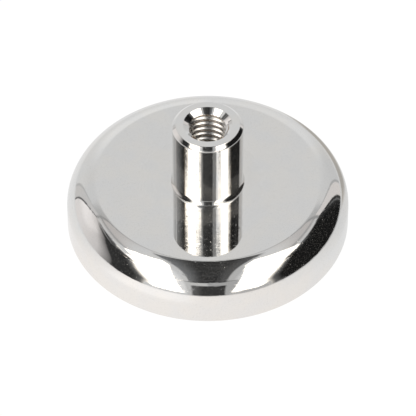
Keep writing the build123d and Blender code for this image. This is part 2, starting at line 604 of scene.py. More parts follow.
# %% [markdown]
# ## Inside the thread
# The roots of the thread are painted a darker, warm brown: painted shade and
# painted warm reflection in the hollows of the thread. The surface there is
# also rougher. The hole is all that lies within the thread's radius, above the spigot and below the
# countersink's cone.

# %% Thread roots
ROOT_PAINTED_SHADE = (0.50, 0.40, 0.31, 1.0)
HOLE_WALL = (ROOT_R + 0.12, ROOT_R + 0.06)
HOLE_END = (ROOF_UNDER + 0.2, ROOF_UNDER + 0.4)
BELOW_CONE = (0.015, 0.045)
ROOT_SHADE_RADII = (2.78, 2.99)              # radii over which the flank turns brown

cone_rise = math.tan(math.radians(90 - COUNTERSINK_ANGLE / 2))
cone_z = work(tree, "ADD", times(tree, radius, cone_rise), (TOP_Z - MOUTH_R * cone_rise) * MM)
in_hole = times(tree, fade(tree, radius, *HOLE_WALL), fade(tree, z, *HOLE_END),
                fade(tree, work(tree, "SUBTRACT", cone_z, z), *BELOW_CONE))
# Painted shade: the roots of the thread are darkened to a warm brown, which stands in for the shade and
# warm reflections in its hollows.
root = times(tree, fade(tree, radius, *ROOT_SHADE_RADII), in_hole)
tint = lay(tree, tint, ROOT_PAINTED_SHADE, root)
print("with the thread roots:", len(tree.nodes), "nodes")

# %% [markdown]
# ## Nicks down the front
# Two rows of small nicks run down the front of the bush, such as parts get
# when they knock together in a barrel. They are dark specks of fine noise,
# kept to two narrow strips of the wall, and the right-hand row is stronger.

# %% Nicks
NICK = (0.17, 0.165, 0.155, 1.0)
NICK_X = 1.6                           # how far each row is from the middle
NICK_WIDTH = (0.22, 0.06)              # distances from a row's middle over which it grows full
NICK_FRONT, NICK_FOOT = (-3.0, -4.0), (12.4, 13.6)
NICK_LEFT, NICK_RIGHT = 0.45, 0.80     # how strong each row is
NICK_MIDDLE, NICK_NOISE = (-0.1, 0.1), (0.50, 0.62)
WALL_INSIDE, WALL_OUTSIDE = (BUSH_R - 0.08, BUSH_R - 0.03), (BUSH_R + 0.08, BUSH_R + 0.03)

apart = work(tree, "SUBTRACT", work(tree, "ABSOLUTE", x), NICK_X * MM)
specks = grain(tree, where, scale=4600.0, detail=3.0, packed=(1.0, 1.0, 0.7))
in_row = fade(tree, work(tree, "ABSOLUTE", apart), *NICK_WIDTH)
on_wall = times(tree, fade(tree, radius, *WALL_INSIDE), fade(tree, radius, *WALL_OUTSIDE))
nicks = times(tree, in_row, ramp(tree, specks, *NICK_NOISE),
              fade(tree, y, *NICK_FRONT), fade(tree, z, *NICK_FOOT), on_wall,
              fade(tree, x, *NICK_MIDDLE, NICK_LEFT, NICK_RIGHT))
plug(tree, shader.inputs["Base Color"], lay(tree, tint, NICK, nicks))
print("with the nicks:", len(tree.nodes), "nodes")

# %% [markdown]
# ## How bright and how sharp
# A film of dust takes a little of the mirror away, so a few parts in a
# hundred of the surface are a plain pale one and the rest is metal.
# Roughness is small everywhere, a little more in clouds of wear and on the
# dull ring, and much more in the thread.

# %% Dust and roughness
PAST_FOOT = (BUSH_R + 0.1, BUSH_R + 0.4)          # radii between the wall and the open roof
DUST, DUST_ON_WALL, DULL_VEIL = 0.055, 0.3, 0.075
WEAR_LOW, WEAR_HIGH, DULL_ROUGH, THREAD_ROUGH = 0.03, 0.06, 0.01, 0.20
DUST_NOISE, WEAR_NOISE = (0.50, 0.68), (0.45, 0.75)

dust = ramp(tree, grain(tree, where, scale=5200.0, detail=3.0), *DUST_NOISE, 0.0, DUST)
dust = times(tree, dust, fade(tree, radius, *PAST_FOOT, DUST_ON_WALL, 1.0))
veil = work(tree, "ADD", dust, times(tree, dull, DULL_VEIL))
plug(tree, shader.inputs["Metallic"], work(tree, "SUBTRACT", 1.0, veil))
wear = ramp(tree, grain(tree, where, scale=900.0, detail=4.0), *WEAR_NOISE, WEAR_LOW, WEAR_HIGH)
rough = work(tree, "ADD", wear, times(tree, dull, DULL_ROUGH))
rough = work(tree, "ADD", rough, times(tree, in_hole, THREAD_ROUGH))
plug(tree, shader.inputs["Roughness"], rough)
print("with dust and roughness:", len(tree.nodes), "nodes")

# %% [markdown]
# ## Three small flaws
# The plate follows the slow unevenness of the metal below, fine hair marks
# from wiping catch the light, and a few pits stay open. All three are bump,
# far smaller than the section. The flat roof was pressed against a flat
# tool, so the slow unevenness is mostly on the shoulder.

# %% Bump of the nickel
SLOW_DEPTH, HAIR_DEPTH, PIT_DEPTH = 0.010, 0.0012, 0.004
SLOW_FROM, SLOW_ON_ROOF = (13, 16), 0.15          # radii over which it grows full, and its part inside
HAIR_ON_WALL, HAIR_NOISE, PIT_NOISE = 0.15, (0.56, 0.72), (0.74, 0.80)

slow = times(tree, grain(tree, where, scale=90.0, detail=1.0),
             fade(tree, radius, *SLOW_FROM, SLOW_ON_ROOF, 1.0))
surface = bump(tree, slow, SLOW_DEPTH)
wiped = grain(tree, where, scale=700.0, detail=3.0, packed=(1.0, 1.0, 14.0))
hair = ramp(tree, wiped, *HAIR_NOISE)
hair = times(tree, hair, fade(tree, radius, *PAST_FOOT, HAIR_ON_WALL, 1.0))
surface = bump(tree, hair, HAIR_DEPTH, surface)
pits = ramp(tree, grain(tree, where, scale=3200.0, detail=1.0), *PIT_NOISE)
surface = bump(tree, pits, -PIT_DEPTH, surface)
plug(tree, shader.inputs["Normal"], surface)
for piece in (steel_cup, threaded_bush):
    piece.data.materials.append(nickel)
print("bright nickel:", len(tree.nodes), "nodes")

# %% [markdown]
# ## Magnet coat
# The magnet's coat is the same metal without the levelling bath, so it keeps
# the grain of the sintered block and the fine lines of its grinding. The
# lines are noise with its waves packed closer along one axis.

# %% Satin coat
COAT_DARK, COAT_PALE = (0.60, 0.59, 0.57, 1), (0.71, 0.70, 0.68, 1)
COAT_SMOOTH, COAT_ROUGH = 0.30, 0.42
GRIND_DEPTH, SINTER_DEPTH = 0.004, 0.006
MOTTLE = (0.3, 0.7)                    # values of noise over which a finish changes

coat, tree, shader = finish("satin_magnet_coat")
where = add(tree, "ShaderNodeTexCoord").outputs["Object"]
mottle = grain(tree, where, scale=420.0, detail=5.0)
plug(tree, shader.inputs["Base Color"], lay(tree, COAT_DARK, COAT_PALE, ramp(tree, mottle, *MOTTLE)))
shader.inputs["Metallic"].default_value = 1.0
plug(tree, shader.inputs["Roughness"], ramp(tree, mottle, *MOTTLE, COAT_SMOOTH, COAT_ROUGH))
sinter = bump(tree, grain(tree, where, scale=2600.0, detail=3.0), SINTER_DEPTH)
grinding = grain(tree, where, scale=500.0, detail=3.0, packed=(1.0, 22.0, 1.0))
plug(tree, shader.inputs["Normal"], bump(tree, grinding, GRIND_DEPTH, sinter))
disc_magnet.data.materials.append(coat)
print("satin coat:", len(tree.nodes), "nodes")

# %% [markdown]
# ## Black resin
# The resin is cast epoxy: almost black, dull, with a skin that is slightly
# uneven and a few dust specks.

# %% Cast resin
RESIN_BLACK, RESIN_SPECK = (0.062, 0.062, 0.066, 1), (0.16, 0.155, 0.15, 1)
RESIN_SMOOTH, RESIN_ROUGH, RESIN_DEPTH = 0.42, 0.6, 0.03
SPECK_NOISE = (0.66, 0.74)

resin, tree, shader = finish("black_cast_resin")
where = add(tree, "ShaderNodeTexCoord").outputs["Object"]
specks = ramp(tree, grain(tree, where, scale=3000.0), *SPECK_NOISE)
plug(tree, shader.inputs["Base Color"], lay(tree, RESIN_BLACK, RESIN_SPECK, specks))
uneven = ramp(tree, grain(tree, where, scale=800.0), *MOTTLE, RESIN_SMOOTH, RESIN_ROUGH)
plug(tree, shader.inputs["Roughness"], uneven)
skin_waves = grain(tree, where, scale=500.0, detail=4.0)
plug(tree, shader.inputs["Normal"], bump(tree, skin_waves, RESIN_DEPTH))
epoxy_ring.data.materials.append(resin)
print("materials:", [m.name for m in bpy.data.materials])

# %% [markdown]
# ## The room as directions
# A mirror shows a room, so the room has to be there: a white-walled light
# tent with a lamp box at each side, a dark gap in front and overhead where
# the camera stands, and a plain rear wall. Nothing in it is near enough to
# shift as the reflection moves a few millimetres, so it can be painted on
# the sky by direction. The direction is a unit vector: its parts are named
# side, back and up, and its angles turn and elevation are in degrees.

# %% Directions
MIDDLE = (-0.01, 0.01)     # side parts between which the left turns into the right

room = bpy.data.worlds.new("light_tent")
bpy.context.scene.world = room
room.use_nodes = True
sky = room.node_tree
sky.nodes.clear()
look = add(sky, "ShaderNodeTexCoord").outputs["Generated"]
axes = add(sky, "ShaderNodeSeparateXYZ")
sky.links.new(look, axes.inputs[0])
side, back, up = axes.outputs
front = work(sky, "MULTIPLY", back, -1.0)
azimuth = work(sky, "DEGREES", work(sky, "ARCTAN2", side, front))
elevation = work(sky, "DEGREES", work(sky, "ARCSINE", up))
turn = work(sky, "ABSOLUTE", azimuth)          # 0 in front, 180 behind
sideways = work(sky, "ABSOLUTE", side)


def each_side(left_value, right_value):
    """A number for each side of the room."""
    return ramp(sky, side, *MIDDLE, left_value, right_value)


right = each_side(0.0, 1.0)
left = work(sky, "SUBTRACT", 1.0, right)
print("directions:", len(sky.nodes), "nodes")

# %% [markdown]
# ## Tones and masks
# Each surface of the room is a tone and a mask, laid over the surfaces behind
# it. A tone is written as the grey that the nickel shows, because that is
# what the eye compares. A mask is a ramp over an angle or a distance, and its
# edges are given in order: where it starts and where it ends, so a pair that
# falls makes a mask that is 1 on the low side.

# %% Tones and masks
SRGB_KNEE, SRGB_SLOPE, SRGB_SHIFT, SRGB_POWER = 0.04045, 12.92, 0.055, 2.4
PINK = (1.045, 1.0, 0.98)


def tone(grey, tint=(1.0, 1.0, 1.0)):
    """Light that the nickel shows as that display grey of 255: the grey's
    linear value over the nickel's reflectance."""
    part = grey / 255
    if part <= SRGB_KNEE:
        linear = part / SRGB_SLOPE
    else:
        linear = ((part + SRGB_SHIFT) / (1 + SRGB_SHIFT)) ** SRGB_POWER
    return (*(linear / NICKEL[1] * t for t in tint), 1.0)


def both(left_tone, right_tone):
    """One tone, or one mask, for each side of the room."""
    return lay(sky, left_tone, right_tone, right)


def plus(first, second):
    """first + second."""
    return work(sky, "ADD", first, second)


def minus(first, second):
    """first - second."""
    return work(sky, "SUBTRACT", first, second)


def product(*masks):
    """The masks multiplied together."""
    return times(sky, *masks)


def over(value, edges, low=0.0, high=1.0, smooth=True):
    """low at the first of two edges of value, high at the second."""
    return ramp(sky, value, *edges, low, high, smooth)


def between(value, edges):
    """1 between the middle two of four edges of value, 0 past the outer two."""
    start, full, until, end = edges
    return product(over(value, (start, full)), over(value, (end, until)))


def curve(foot, unit, reach, power):
    """reach * ((elevation - foot) / unit) ** power, and 0 below foot."""
    held = work(sky, "DIVIDE", work(sky, "MAXIMUM", minus(elevation, foot), 0.0), unit)
    return product(reach, work(sky, "POWER", held, power))


print("white seen in the nickel:", [round(v, 3) for v in tone(255)])

# %% [markdown]
# ## Rear wall
# The rear wall is what the flat roof shows, so it sets the grey of most of
# the piece. It is darker near the floor and near the ceiling, and its ends
# are a little darker than its middle.

# %% Rear wall
REAR_FOOT, REAR_LEFT, REAR_RIGHT, REAR_HIGH = 209, 219, 213, 202
REAR_RISE, REAR_TOP = (2, 16), (24, 36)
BESIDE_LEFT, BESIDE_RIGHT, BESIDE_HIGH = 203, 192, 197
BESIDE_RISE, BESIDE_TURN = (12, 40), (163, 148)

rear = lay(sky, tone(REAR_FOOT), both(tone(REAR_LEFT), tone(REAR_RIGHT)), over(elevation, REAR_RISE))
rear = lay(sky, rear, tone(REAR_HIGH), over(elevation, REAR_TOP))
beside = lay(sky, both(tone(BESIDE_LEFT), tone(BESIDE_RIGHT)), tone(BESIDE_HIGH),
             over(elevation, BESIDE_RISE))
shown = lay(sky, rear, beside, over(turn, BESIDE_TURN))
print("rear wall:", len(sky.nodes), "nodes")

# %% [markdown]
# ## Shade below the ceiling
# The ceiling is a flat sheet overhead. A straight edge of a flat ceiling is
# where front = -ratio * up, whatever the side, so the ratio says how far back
# it reaches. This one's rim bows back towards its ends, so its ratio grows
# with the square of side over up. The wall is shaded below it.

# %% Rim of the ceiling and its shade
RIM_RATIO, RIM_BOW, RIM_MOST = 0.50, 1.06, 0.67
LEAST_UP = 0.01                        # keeps the division finite at the horizon
SHADE, SHADE_BELOW_RIM, SHADE_TURN, SHADE_RISE = 171, (-0.17, -0.05), (162, 150), (36, 42)

over_up = work(sky, "DIVIDE", sideways, work(sky, "MAXIMUM", up, LEAST_UP))
bow = product(over_up, over_up, RIM_BOW)
rim_ratio = work(sky, "MINIMUM", plus(bow, RIM_RATIO), RIM_MOST)
past_rim = plus(front, product(up, rim_ratio))
shade = product(over(past_rim, SHADE_BELOW_RIM), over(turn, SHADE_TURN), over(elevation, SHADE_RISE))
shown = lay(sky, shown, tone(SHADE), shade)
print("with the shade:", len(sky.nodes), "nodes")

# %% [markdown]
# ## Corners
# A strip of wall stands between each rear corner and the nearer side wall.
# The corner itself is a thin darker seam that leans outwards a little with
# height.

# %% Corner strips and seams
CORNER_LEFT, CORNER_RIGHT = 135.7, 137.4
CORNER_RISE, LEAN_LEFT, LEAN_RIGHT = (0, 43), 0.8, 3.0
STRIP_EDGE, SEAM_EDGES = (0.4, -0.4), (-1.1, -0.3, 0.3, 1.1)
STRIP_LEFT, STRIP_RIGHT = tone(189, (1.02, 1.0, 0.99)), tone(199, PINK)
SEAM_LEFT, SEAM_RIGHT = 174, 164

lean = over(elevation, CORNER_RISE, 0.0, each_side(LEAN_LEFT, LEAN_RIGHT), smooth=False)
past_corner = minus(turn, plus(each_side(CORNER_LEFT, CORNER_RIGHT), lean))
shown = lay(sky, shown, both(STRIP_LEFT, STRIP_RIGHT), over(past_corner, STRIP_EDGE))
seam = between(past_corner, SEAM_EDGES)
shown = lay(sky, shown, both(tone(SEAM_LEFT), tone(SEAM_RIGHT)), seam)
print("with the corners:", len(sky.nodes), "nodes")

# %% [markdown]
# ## Left side wall
# The left wall is a pale screen that dims towards the front, with a dark
# edge in front and on top. Its gradients are straight ramps: a smooth one
# would bunch its change in the middle. Its front edge leans back with
# height, so the gradients are measured from a curve.

# %% Left wall
INWARD_FOOT, INWARD_UNIT, INWARD_REACH, INWARD_POWER = 0.0, 30.0, 13.0, 2.6
DIM_TURN, DIM_FROM, DIM_TO = (75, 90), 0.17, 0.70
PALE_TURN, PALE_MORE = (91, 112), 0.15
GLOW_RISE, GLOW_TURN, GLOW_MORE = (10, 25, 33, 42), (100, 112), 0.15
SCREEN_TINT = (1.0, 0.96, 0.945, 1.0)
LEFT_DARK, LEFT_EDGE = 44, (75.5, 72.5)
TOP_RISE, TOP_TURN = (41.4, 42.6), (130, 104)

inward = minus(turn, curve(INWARD_FOOT, INWARD_UNIT, INWARD_REACH, INWARD_POWER))
wall_light = plus(over(inward, DIM_TURN, DIM_FROM, DIM_TO, smooth=False),
                  over(inward, PALE_TURN, 0.0, PALE_MORE, smooth=False))
glow = product(between(elevation, GLOW_RISE), over(turn, GLOW_TURN))
wall_light = plus(wall_light, product(glow, GLOW_MORE))
screen = add(sky, "ShaderNodeMix", data_type="RGBA", blend_type="MULTIPLY")
screen.inputs[MIX_PART].default_value = 1.0
screen.inputs[MIX_UNDER].default_value = SCREEN_TINT
sky.links.new(wall_light, screen.inputs[MIX_OVER])
wall_top = product(over(elevation, TOP_RISE), over(turn, TOP_TURN, smooth=False))
left_wall = lay(sky, screen.outputs[MIX_RESULT], tone(LEFT_DARK),
                work(sky, "MAXIMUM", over(inward, LEFT_EDGE), wall_top))
print("with the left wall:", len(sky.nodes), "nodes")

# %% [markdown]
# ## Right side wall
# The right wall is a black screen with one faint glint near its end. Both
# walls end at the corner strips, and a slim post stands at the end of the
# left one, which widens with height and stops below the ceiling.

# %% Right wall and the post
RIGHT_BLACK, RIGHT_END, RIGHT_TURN = 22, 46, (121, 128)
GLINT, GLINT_TURN, GLINT_RISE = 96, (126.4, 127.1, 127.6, 128.3), (34, 24)
END_LEFT, END_RIGHT, END_RISE, END_LEAN = 127.9, 129.6, (0, 36), 0.8
WALL_EDGE = (0.5, -0.5)
POST, POST_RISE, POST_LOW, POST_HIGH = 92, (5, 36), 0.7, 1.4
POST_EDGE, POST_RATIO, POST_TOP = (0.0, 0.6), 0.80, (0.0, 0.03)

right_wall = lay(sky, tone(RIGHT_BLACK), tone(RIGHT_END), over(turn, RIGHT_TURN))
glint = product(between(turn, GLINT_TURN), over(elevation, GLINT_RISE))
right_wall = lay(sky, right_wall, tone(GLINT), glint)
wall_end = plus(each_side(END_LEFT, END_RIGHT), over(elevation, END_RISE, 0.0, END_LEAN, smooth=False))
past_wall = minus(turn, wall_end)
shown = lay(sky, shown, both(left_wall, right_wall), over(past_wall, WALL_EDGE))
post_half = over(elevation, POST_RISE, POST_LOW, POST_HIGH, smooth=False)
in_post = minus(1.0, work(sky, "DIVIDE", work(sky, "ABSOLUTE", past_wall), post_half))
below_top = over(minus(sideways, product(up, POST_RATIO)), POST_TOP)
shown = lay(sky, shown, tone(POST), product(left, over(in_post, POST_EDGE), below_top))
print("with both side walls:", len(sky.nodes), "nodes")

# %% [markdown]
# ## Ceiling
# A flat sheet is bounded by planes through the eye: sideways = ratio * up at
# its sides and the rim at its rear. A fold and a batten run along it at fixed
# ratios of side to up, and its rim is a dark line.

# %% Ceiling
CEILING_RATIO, CEILING_EDGE = 0.79, (0.046, -0.020)
CEILING_LOW, CEILING_HIGH, CEILING_RISE = tone(177, PINK), 199, (55, 66)
FOLD, FOLD_EDGES = 154, (0.55, 0.60, 0.62, 0.67)
BATTEN, BATTEN_EDGES = 190, (0.67, 0.71, 0.79, 0.83)
RIM, RIM_EDGES = 146, (-0.030, -0.008, 0.008, 0.030)

over_edge = minus(sideways, product(up, CEILING_RATIO))
above = over(over_edge, CEILING_EDGE)
ceiling = lay(sky, CEILING_LOW, tone(CEILING_HIGH), over(elevation, CEILING_RISE))
ceiling = lay(sky, ceiling, tone(FOLD), between(over_up, FOLD_EDGES))
ceiling = lay(sky, ceiling, tone(BATTEN), between(over_up, BATTEN_EDGES))
ceiling = lay(sky, ceiling, tone(RIM), between(past_rim, RIM_EDGES))
shown = lay(sky, shown, ceiling, product(above, over(past_rim, RIM_EDGES[:2])))
print("with the ceiling:", len(sky.nodes), "nodes")

# %% [markdown]
# ## Lamp boxes
# A lamp box stands at each side and reaches overhead. It is far brighter
# than the walls, so it stays white even where the plating is a little dull.
# Its outer edge leans outwards with height. The dark surround comes first,
# so that the lamp is laid over it.

# %% Lamps and their dark surrounds
LAMP = (2.5, 2.35, 2.15, 1.0)
EDGE_TURN, EDGE_FOOT, EDGE_RISE = 45.7, 15.0, 31.0
REACH_LEFT, POWER_LEFT, REACH_RIGHT, POWER_RIGHT = 24.9, 1.30, 27.5, 1.75
SURROUND, SURROUND_BESIDE, SURROUND_TURN = 96, (11, 1), (116, 104)
PAST_CEILING, BELOW_CEILING = (-0.02, 0.06), (-0.02, 0.05)
SURROUND_BELOW = (0.13, 0.03)
LAMP_EDGE, LAMP_REAR = (4.0, -7.5), (-0.018, 0.012)
REAR_RATIO_LEFT, REAR_RATIO_RIGHT = 0.155, 0.175

lean_left = curve(EDGE_FOOT, EDGE_RISE, REACH_LEFT, POWER_LEFT)
lean_right = curve(EDGE_FOOT, EDGE_RISE, REACH_RIGHT, POWER_RIGHT)
lamp_edge = plus(EDGE_TURN, plus(product(lean_left, left), product(lean_right, right)))
past_edge = minus(turn, lamp_edge)
beside_lamp = product(over(past_edge, SURROUND_BESIDE), over(over_edge, PAST_CEILING))
below_lamp = product(over(over_edge, SURROUND_BELOW), over(over_edge, BELOW_CEILING),
                     over(turn, SURROUND_TURN))
shown = lay(sky, shown, tone(SURROUND), work(sky, "MAXIMUM", beside_lamp, below_lamp))
lamp_rear = plus(front, product(up, each_side(REAR_RATIO_LEFT, REAR_RATIO_RIGHT)))
lamps = product(work(sky, "MAXIMUM", over(past_edge, LAMP_EDGE), above), over(lamp_rear, LAMP_REAR))
shown = lay(sky, shown, LAMP, lamps)
print("with the lamps:", len(sky.nodes), "nodes")

# %% [markdown]
# ## Small things on the lamps
# A white lamp box is never one clean shape. A joint line crosses the right
# one, a pale flap hangs over part of the left one, and a pale strip at the
# foot of both is where they stand on the table.

# %% Joint, flap and foot of the lamps
JOINT, JOINT_RATIO, JOINT_HALF, JOINT_EDGE = 232, 0.655, (0.026, 0.014), (0.0, -4.0)
SIDE_FLAP, FLAP_TURN, FLAP_RISE = 200, (84, 90, 106, 112), (50, 52, 56, 58)
FOOT_LEFT, FOOT_RIGHT, FOOT_TURN, FOOT_MORE = 4.5, 6.5, (38, 46), 5.0
FOOT_EDGE, FOOT_END, FOOT_TONE_LEFT, FOOT_TONE_RIGHT = (1.0, -1.0), (47.0, 45.0), 196, 170

from_joint = work(sky, "ABSOLUTE", minus(front, product(up, JOINT_RATIO)))
joint = product(right, over(from_joint, JOINT_HALF), over(past_edge, JOINT_EDGE))
shown = lay(sky, shown, tone(JOINT), joint)
side_flap = product(left, between(turn, FLAP_TURN), between(elevation, FLAP_RISE))
shown = lay(sky, shown, tone(SIDE_FLAP), side_flap)
lamp_foot = plus(each_side(FOOT_LEFT, FOOT_RIGHT), over(turn, FOOT_TURN, 0.0, FOOT_MORE))
under_lamp = product(over(minus(elevation, lamp_foot), FOOT_EDGE), over(turn, FOOT_END))
shown = lay(sky, shown, both(tone(FOOT_TONE_LEFT), tone(FOOT_TONE_RIGHT)), under_lamp)
print("with joint, flap and foot:", len(sky.nodes), "nodes")

# %% [markdown]
# ## The dark gap
# The camera looks in through a gap between the lamps. From the lamps inwards
# come their pale inner flaps and then the gap itself, which is dark and
# slightly cloudy. It runs from the front up over the object.

# %% Inner flaps and the gap
GAP_FRONT, GAP_OVERHEAD = (0.0, -0.02), (65, 68)
INNER_FRONT, INNER_UP, INNER_EDGE = 0.265, 0.24, (0.010, -0.006)
FLAP_IN_LEFT, FLAP_OUT_LEFT, FLAP_SIDE_LEFT = 192, 216, (0.24, 0.30)
FLAP_IN_RIGHT, FLAP_OUT_RIGHT, FLAP_SIDE_RIGHT = 174, 194, (0.26, 0.30)
GAP_DARK, GAP_CLOUD, CLOUD_SCALE, CLOUD_EDGES = 46, 62, 9.0, (0.42, 0.70)
GAP_LEFT, GAP_RIGHT = tone(108, (0.98, 1.0, 1.03)), 78
GAP_SIDE_LEFT, GAP_SIDE_RIGHT, GAP_EDGE = (-0.05, -0.19), (0.07, 0.17), (0.210, 0.186)

gap_end = work(sky, "MAXIMUM", over(back, GAP_FRONT), over(elevation, GAP_OVERHEAD))
inner_side = plus(product(work(sky, "MAXIMUM", front, 0.0), INNER_FRONT), product(up, INNER_UP))
lamp_inner = minus(sideways, inner_side)
flap = both(lay(sky, tone(FLAP_IN_LEFT), tone(FLAP_OUT_LEFT), over(sideways, FLAP_SIDE_LEFT)),
            lay(sky, tone(FLAP_IN_RIGHT), tone(FLAP_OUT_RIGHT), over(sideways, FLAP_SIDE_RIGHT)))
shown = lay(sky, shown, flap, product(gap_end, over(lamp_inner, INNER_EDGE)))
haze = add(sky, "ShaderNodeTexNoise")
sky.links.new(look, haze.inputs["Vector"])
haze.inputs["Scale"].default_value = CLOUD_SCALE
dim = lay(sky, tone(GAP_DARK), tone(GAP_CLOUD), over(haze.outputs[0], CLOUD_EDGES))
gap = lay(sky, dim, both(GAP_LEFT, tone(GAP_RIGHT)),
          work(sky, "MAXIMUM", over(side, GAP_SIDE_LEFT), over(side, GAP_SIDE_RIGHT)))
shown = lay(sky, shown, gap, product(gap_end, over(sideways, GAP_EDGE)))
print("with the gap:", len(sky.nodes), "nodes")

# %% [markdown]
# ## The beam
# Lower down a pale beam crosses between the flaps, and below it the gap is
# dark again. It is laid over the gap only in front, below the camera's own
# height.

# %% Beam, and the dark below it
BEAM_RISE, BEAM_EDGE = (44.7, 43.2), (-0.002, -0.014)
BEAM_IN, BEAM_OUT, BEAM_SIDE, BEAM_RIGHT = 184, 214, (0.235, 0.275), 160
UNDER_RISE, UNDER_LEFT, UNDER_RIGHT = (36.0, 32.0), (0.207, 0.173), (0.222, 0.192)
DARK_IN, DARK_OUT, DARK_SIDE, DARK_RIGHT = 86, 50, (0.165, 0.05), 51

low_front = product(over(back, GAP_FRONT), over(elevation, BEAM_RISE))
beam = both(lay(sky, tone(BEAM_IN), tone(BEAM_OUT), over(sideways, BEAM_SIDE)), tone(BEAM_RIGHT))
shown = lay(sky, shown, beam, product(low_front, over(lamp_inner, BEAM_EDGE)))
under_beam = product(low_front, over(elevation, UNDER_RISE))
edge_in = both(over(sideways, UNDER_LEFT), over(sideways, UNDER_RIGHT))
dark_front = both(lay(sky, tone(DARK_IN), tone(DARK_OUT), over(sideways, DARK_SIDE)), tone(DARK_RIGHT))
shown = lay(sky, shown, dark_front, product(under_beam, edge_in))
print("with the beam:", len(sky.nodes), "nodes")

# %% [markdown]
# ## Level with the camera
# The upright bush and the roof in front of it show only what stands between
# 44.7 and 46.3 degrees, so this strip is drawn finer than the rest. In front
# it is a row of tones beside one another, given as the azimuths over which
# each one comes in. Its lower and its upper part differ a little.

# %% Strip level with the camera
LEVEL_RISE, PARTED_AT = (44.3, 44.7, 46.2, 46.6), (45.86, 45.98)
LEVEL_TURN, OUTER_TURN = (52, 50), (82, 86, 122, 126)
OUTER_DARK, OUTER_PALE, OUTER_GROWS = 44, 124, (90, 120)
LOWER = [(-14.5, -19, tone(142)), (-26.1, -29.8, LAMP), (14.3, 18.8, tone(134)),
         (25.8, 31, tone(247)), (36, 38.5, tone(206)), (42, 47, LAMP)]
UPPER = [(-14.5, -19, tone(140)), (-24, -27, tone(160)), (-27.5, -30.5, tone(206)),
         (-33.5, -37, tone(238)), (-38, -42, LAMP), (14.3, 18.8, tone(134)),
         (26, 30, tone(184)), (37, 39.5, tone(210)), (41, 46, LAMP)]
LOWER_MIDDLE, UPPER_MIDDLE = 42, 44


def across(middle, stops):
    """Tones beside one another over azimuth. A stop is start, end, tone."""
    row = tone(middle)
    for start, end, beyond in stops:
        row = lay(sky, row, beyond, over(azimuth, (start, end)))
    return row


level = lay(sky, across(LOWER_MIDDLE, LOWER), across(UPPER_MIDDLE, UPPER), over(elevation, PARTED_AT))
in_level = between(elevation, LEVEL_RISE)
shown = lay(sky, shown, level, product(in_level, over(turn, LEVEL_TURN)))
outer = lay(sky, tone(OUTER_DARK), tone(OUTER_PALE), over(turn, OUTER_GROWS, smooth=False))
shown = lay(sky, shown, outer, product(in_level, between(turn, OUTER_TURN), left))
print("with the strip:", len(sky.nodes), "nodes")

# %% [markdown]
# ## A finer band in the strip
# The middle of the strip is what the bush shows near its foot, and the roof
# close in front of it. There the lamps reach further round, with a warm
# fringe at their outer end, and the row of tones is narrower.

# %% Finer band
FRINGE = (1.02, 0.86, 0.68, 1.0)
BAND_LEFT, BAND_RIGHT = (45.07, 45.17, 45.85, 45.93), (45.20, 45.32, 45.66, 45.78)
NEAR = [(-13, -17, tone(116)), (-19.5, -23.5, LAMP), (13, 17, tone(120)),
        (25, 29, tone(247)), (32, 38, LAMP)]
NEAR_MIDDLE, NEAR_LAMP, NEAR_TURN = 66, (45, 50), (124, 120)
BULGE_LEFT, BULGE_RIGHT, FRINGE_EDGE, DIM_EDGE = 80.6, 81.0, (-5.0, 0.0), (-2.0, 3.5)
DIM_DARK, DIM_PALE, DIM_GROWS, DIM_RIGHT = 56, 140, (89, 118), 48

near = lay(sky, across(NEAR_MIDDLE, NEAR), LAMP, over(turn, NEAR_LAMP))
bulge = minus(turn, each_side(BULGE_LEFT, BULGE_RIGHT))
near = lay(sky, near, FRINGE, over(bulge, FRINGE_EDGE))
dim_left = lay(sky, tone(DIM_DARK), tone(DIM_PALE), over(turn, DIM_GROWS, smooth=False))
near = lay(sky, near, both(dim_left, tone(DIM_RIGHT)), over(bulge, DIM_EDGE))
band = both(between(elevation, BAND_LEFT), between(elevation, BAND_RIGHT))
shown = lay(sky, shown, near, product(band, over(turn, NEAR_TURN)))
print("with the finer band:", len(sky.nodes), "nodes")

# %% [markdown]
# ## What the camera sees
# The room is only for the reflections and the light. A ray that comes
# straight from the camera is answered with plain white, so the background of
# the picture stays clean.

# %% Sky output
WHITE = (1.0, 1.0, 1.0, 1.0)

rays = add(sky, "ShaderNodeLightPath")
background = add(sky, "ShaderNodeBackground")
sky.links.new(lay(sky, shown, WHITE, rays.outputs["Is Camera Ray"]), background.inputs["Color"])
background.inputs["Strength"].default_value = 1.0
sky_out = add(sky, "ShaderNodeOutputWorld")
sky.links.new(background.outputs[0], sky_out.inputs["Surface"])
print("room:", len(sky.nodes), "nodes")

# %% [markdown]
# ## The floor
# The magnet lies on a plain white sheet. The plating shows the sheet, a
# little brighter in front than behind, and its edge is the horizon in the
# reflection. To the camera the sheet is white, with a thin share of real
# light so that the magnet still leaves a shadow on it.

# %% Sheet of the floor
FLOOR_HALF, FLOOR_DROP = 170.0, 0.02
SQUARE = [[-1, -1], [1, -1], [1, 1], [-1, 1]]

sheet_mesh = bpy.data.meshes.new("floor_sheet")
sheet_corners = np.array(SQUARE) * FLOOR_HALF * MM
sheet_mesh.from_pydata([(x, y, -FLOOR_DROP * MM) for x, y in sheet_corners.tolist()], [], [(0, 1, 2, 3)])
floor_sheet = bpy.data.objects.new("floor_sheet", sheet_mesh)
bpy.context.scene.collection.objects.link(floor_sheet)
print("floor:", 2 * FLOOR_HALF, "mm square")

# %% [markdown]
# ## What the plating sees of the floor
# Seen from the axis, the light of the sheet changes with the direction on it
# and with the distance. The direction is an azimuth as in the room, 0 in
# front, and the cosine of the angle to it makes a lobe that is largest there.

